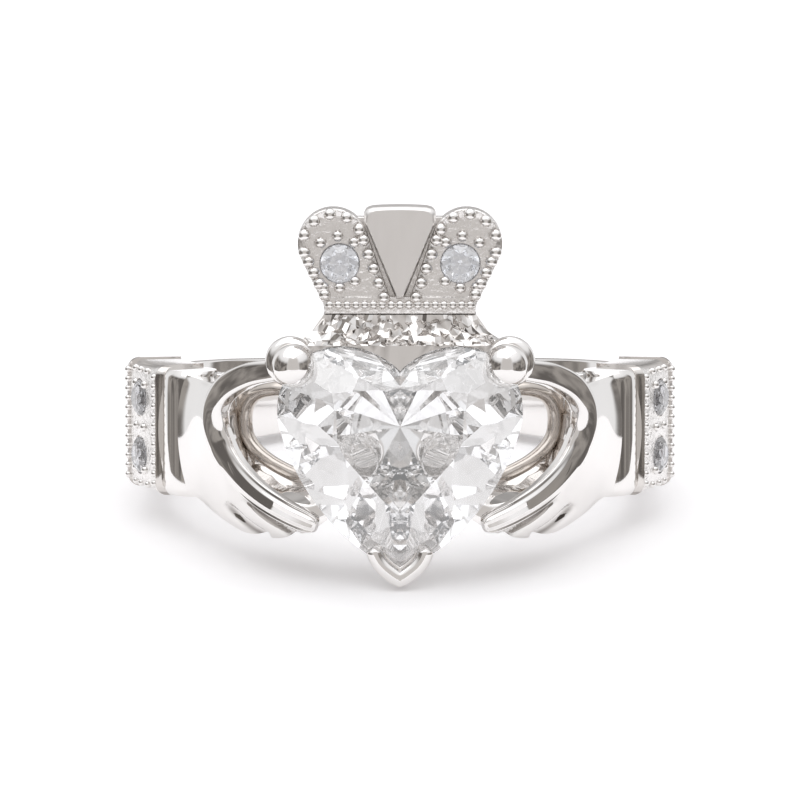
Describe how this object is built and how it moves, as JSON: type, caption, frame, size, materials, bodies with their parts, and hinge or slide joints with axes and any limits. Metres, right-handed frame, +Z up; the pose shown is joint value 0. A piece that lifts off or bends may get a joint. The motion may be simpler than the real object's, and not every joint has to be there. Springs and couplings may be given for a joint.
{
  "type": "claddagh ring",
  "caption": "Claddagh finger ring in polished white metal: two hands hold a faceted heart stone under a beaded crown, with stone-set cuffs on the band.",
  "frame": {"origin": "centre of the finger hole, halfway up the band", "axes": "the ring lies at rest on the XY plane's side: +Z up, the heart faces -Y, +X to the right seen from the heart's side; the finger's axis leans 9.6 degrees from +Z towards +Y"},
  "size_m": [0.0208, 0.0232, 0.0135],
  "materials": {
    "white_gold": "polished",
    "clear_stone": "faceted, polished"
  },
  "bodies": {
    "root": {"ring_metal": "white_gold", "heart_stone": "clear_stone", "crown_stone_left": "clear_stone", "crown_stone_right": "clear_stone", "cuff_stone_left_upper": "clear_stone", "cuff_stone_left_lower": "clear_stone", "cuff_stone_right_upper": "clear_stone", "cuff_stone_right_lower": "clear_stone"}
  },
  "joints": []
}
